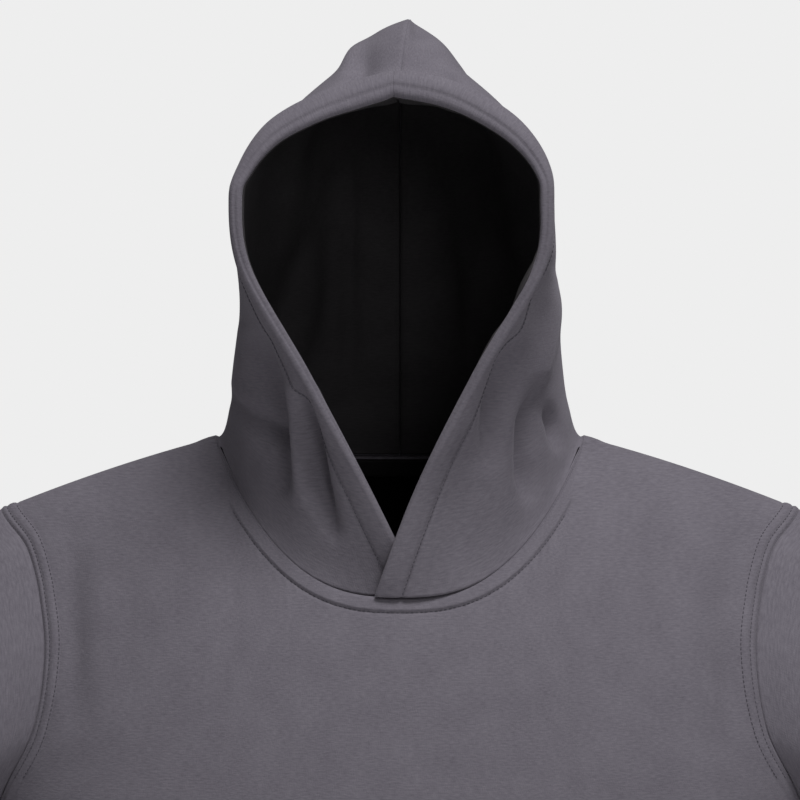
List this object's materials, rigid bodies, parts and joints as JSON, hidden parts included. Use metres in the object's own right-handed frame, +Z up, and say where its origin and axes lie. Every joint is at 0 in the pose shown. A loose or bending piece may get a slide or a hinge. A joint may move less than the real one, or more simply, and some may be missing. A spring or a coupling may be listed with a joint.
{
  "type": "pullover hoodie",
  "caption": "Charcoal fleece pullover hoodie in its worn shape with no wearer: hood up over a black lining, lapped throat, long sleeves with rib cuffs, rib hem band.",
  "frame": {"origin": "the shoulders mount: midway between the two shoulders, level with the side of the neck, where the worn garment hangs", "axes": "+Z up, from hem to hood; -Y is the wearer's front; +X is the wearer's left"},
  "size_m": [0.8088, 0.2489, 0.9656],
  "materials": {
    "fleece": "charcoal heather brushed sweatshirt fleece",
    "rib": "charcoal heather one by one rib knit",
    "lining": "black jersey"
  },
  "bodies": {
    "root": {"body_back": "fleece", "body_front": "fleece", "cuff_left": "rib", "cuff_right": "rib", "hem_band": "rib", "hood_left": "fleece", "hood_lining_left": "lining", "hood_lining_right": "lining", "hood_right": "fleece", "neck_tape": "lining", "sleeve_left": "fleece", "sleeve_right": "fleece"}
  },
  "joints": []
}
